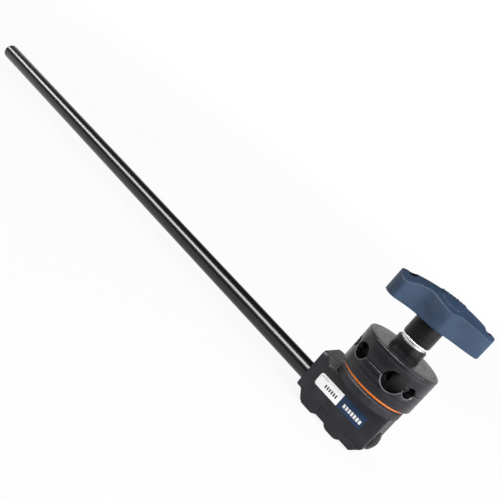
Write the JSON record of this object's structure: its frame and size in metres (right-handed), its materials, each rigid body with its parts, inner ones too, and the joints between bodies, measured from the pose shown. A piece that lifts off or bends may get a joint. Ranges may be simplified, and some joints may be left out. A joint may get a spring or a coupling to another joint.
{
  "type": "grip arm",
  "caption": "Round rod fixed in a casting that carries a swivelling two-jaw clamp head, tightened by a wing handle over a thrust bearing.",
  "frame": {"origin": "on the rod's axis, at the shoulder where the rod leaves the casting", "axes": "+X along the rod to its free end, +Z along the clamp bolt from the casting to the handle, +Y towards the side face that carries the label plates"},
  "size_m": [0.5895, 0.064, 0.1398],
  "materials": {
    "black_casting": "fine textured black powder coat on cast aluminium",
    "black_jaw": "satin black coat on turned aluminium",
    "black_rod": "semi-gloss black on drawn steel",
    "black_steel": "blackened steel",
    "zinc_steel": "zinc plated",
    "polished_steel": "ground and polished",
    "spring_steel": "drawn wire",
    "core_metal": "as cast",
    "brass": "turned",
    "orange_ring": "matt friction plastic",
    "white_label": "satin film",
    "blue_label": "satin film",
    "blue_grip": "moulded, softly textured"
  },
  "bodies": {
    "arm": {"head_casting": "black_casting", "arm_rod": "black_rod", "retaining_screw": "black_steel", "screw_washer": "zinc_steel", "clamp_bolt": "zinc_steel", "stop_nut": "zinc_steel", "white_plate": "white_label", "blue_plate": "blue_label"},
    "inner_jaw": {"inner_jaw": "black_jaw", "friction_ring": "orange_ring", "jaw_dowels": "polished_steel", "jaw_spring": "spring_steel"},
    "outer_jaw": {"outer_jaw": "black_jaw", "collar_flange": "black_steel", "bearing_collar": "black_steel"},
    "thrust_bearing": {"lower_bearing_washer": "polished_steel", "roller_cage": "zinc_steel", "bearing_rollers": "polished_steel"},
    "handle": {"upper_bearing_washer": "polished_steel", "handle_stem": "black_steel", "threaded_insert": "brass", "handle_core": "core_metal", "handle_grip": "blue_grip", "handle_cap": "blue_grip"}
  },
  "joints": [
    {"name": "head_swivel", "type": "hinge", "parent": "arm", "child": "inner_jaw", "pos_m": [-0.0425, 0, 0.042], "axis": [0, 0, 1], "continuous": true},
    {"name": "jaw_open", "type": "slide", "parent": "inner_jaw", "child": "outer_jaw", "axis": [0, 0, 1], "range_m": [0, 0.00638], "deforming": ["jaw_spring"]},
    {"name": "bearing_lift", "type": "slide", "parent": "arm", "child": "thrust_bearing", "axis": [0, 0, 1], "range_m": [0, 0.00638]},
    {"name": "handle_turn", "type": "hinge", "parent": "thrust_bearing", "child": "handle", "pos_m": [-0.0425, 0, 0.09], "axis": [0, 0, 1], "range_deg": [0, 1530]}
  ],
  "couplings": [
    {"joint": "jaw_open", "follows": "handle_turn", "m_per_rad": 0.00023873},
    {"joint": "bearing_lift", "follows": "handle_turn", "m_per_rad": 0.00023873}
  ]
}
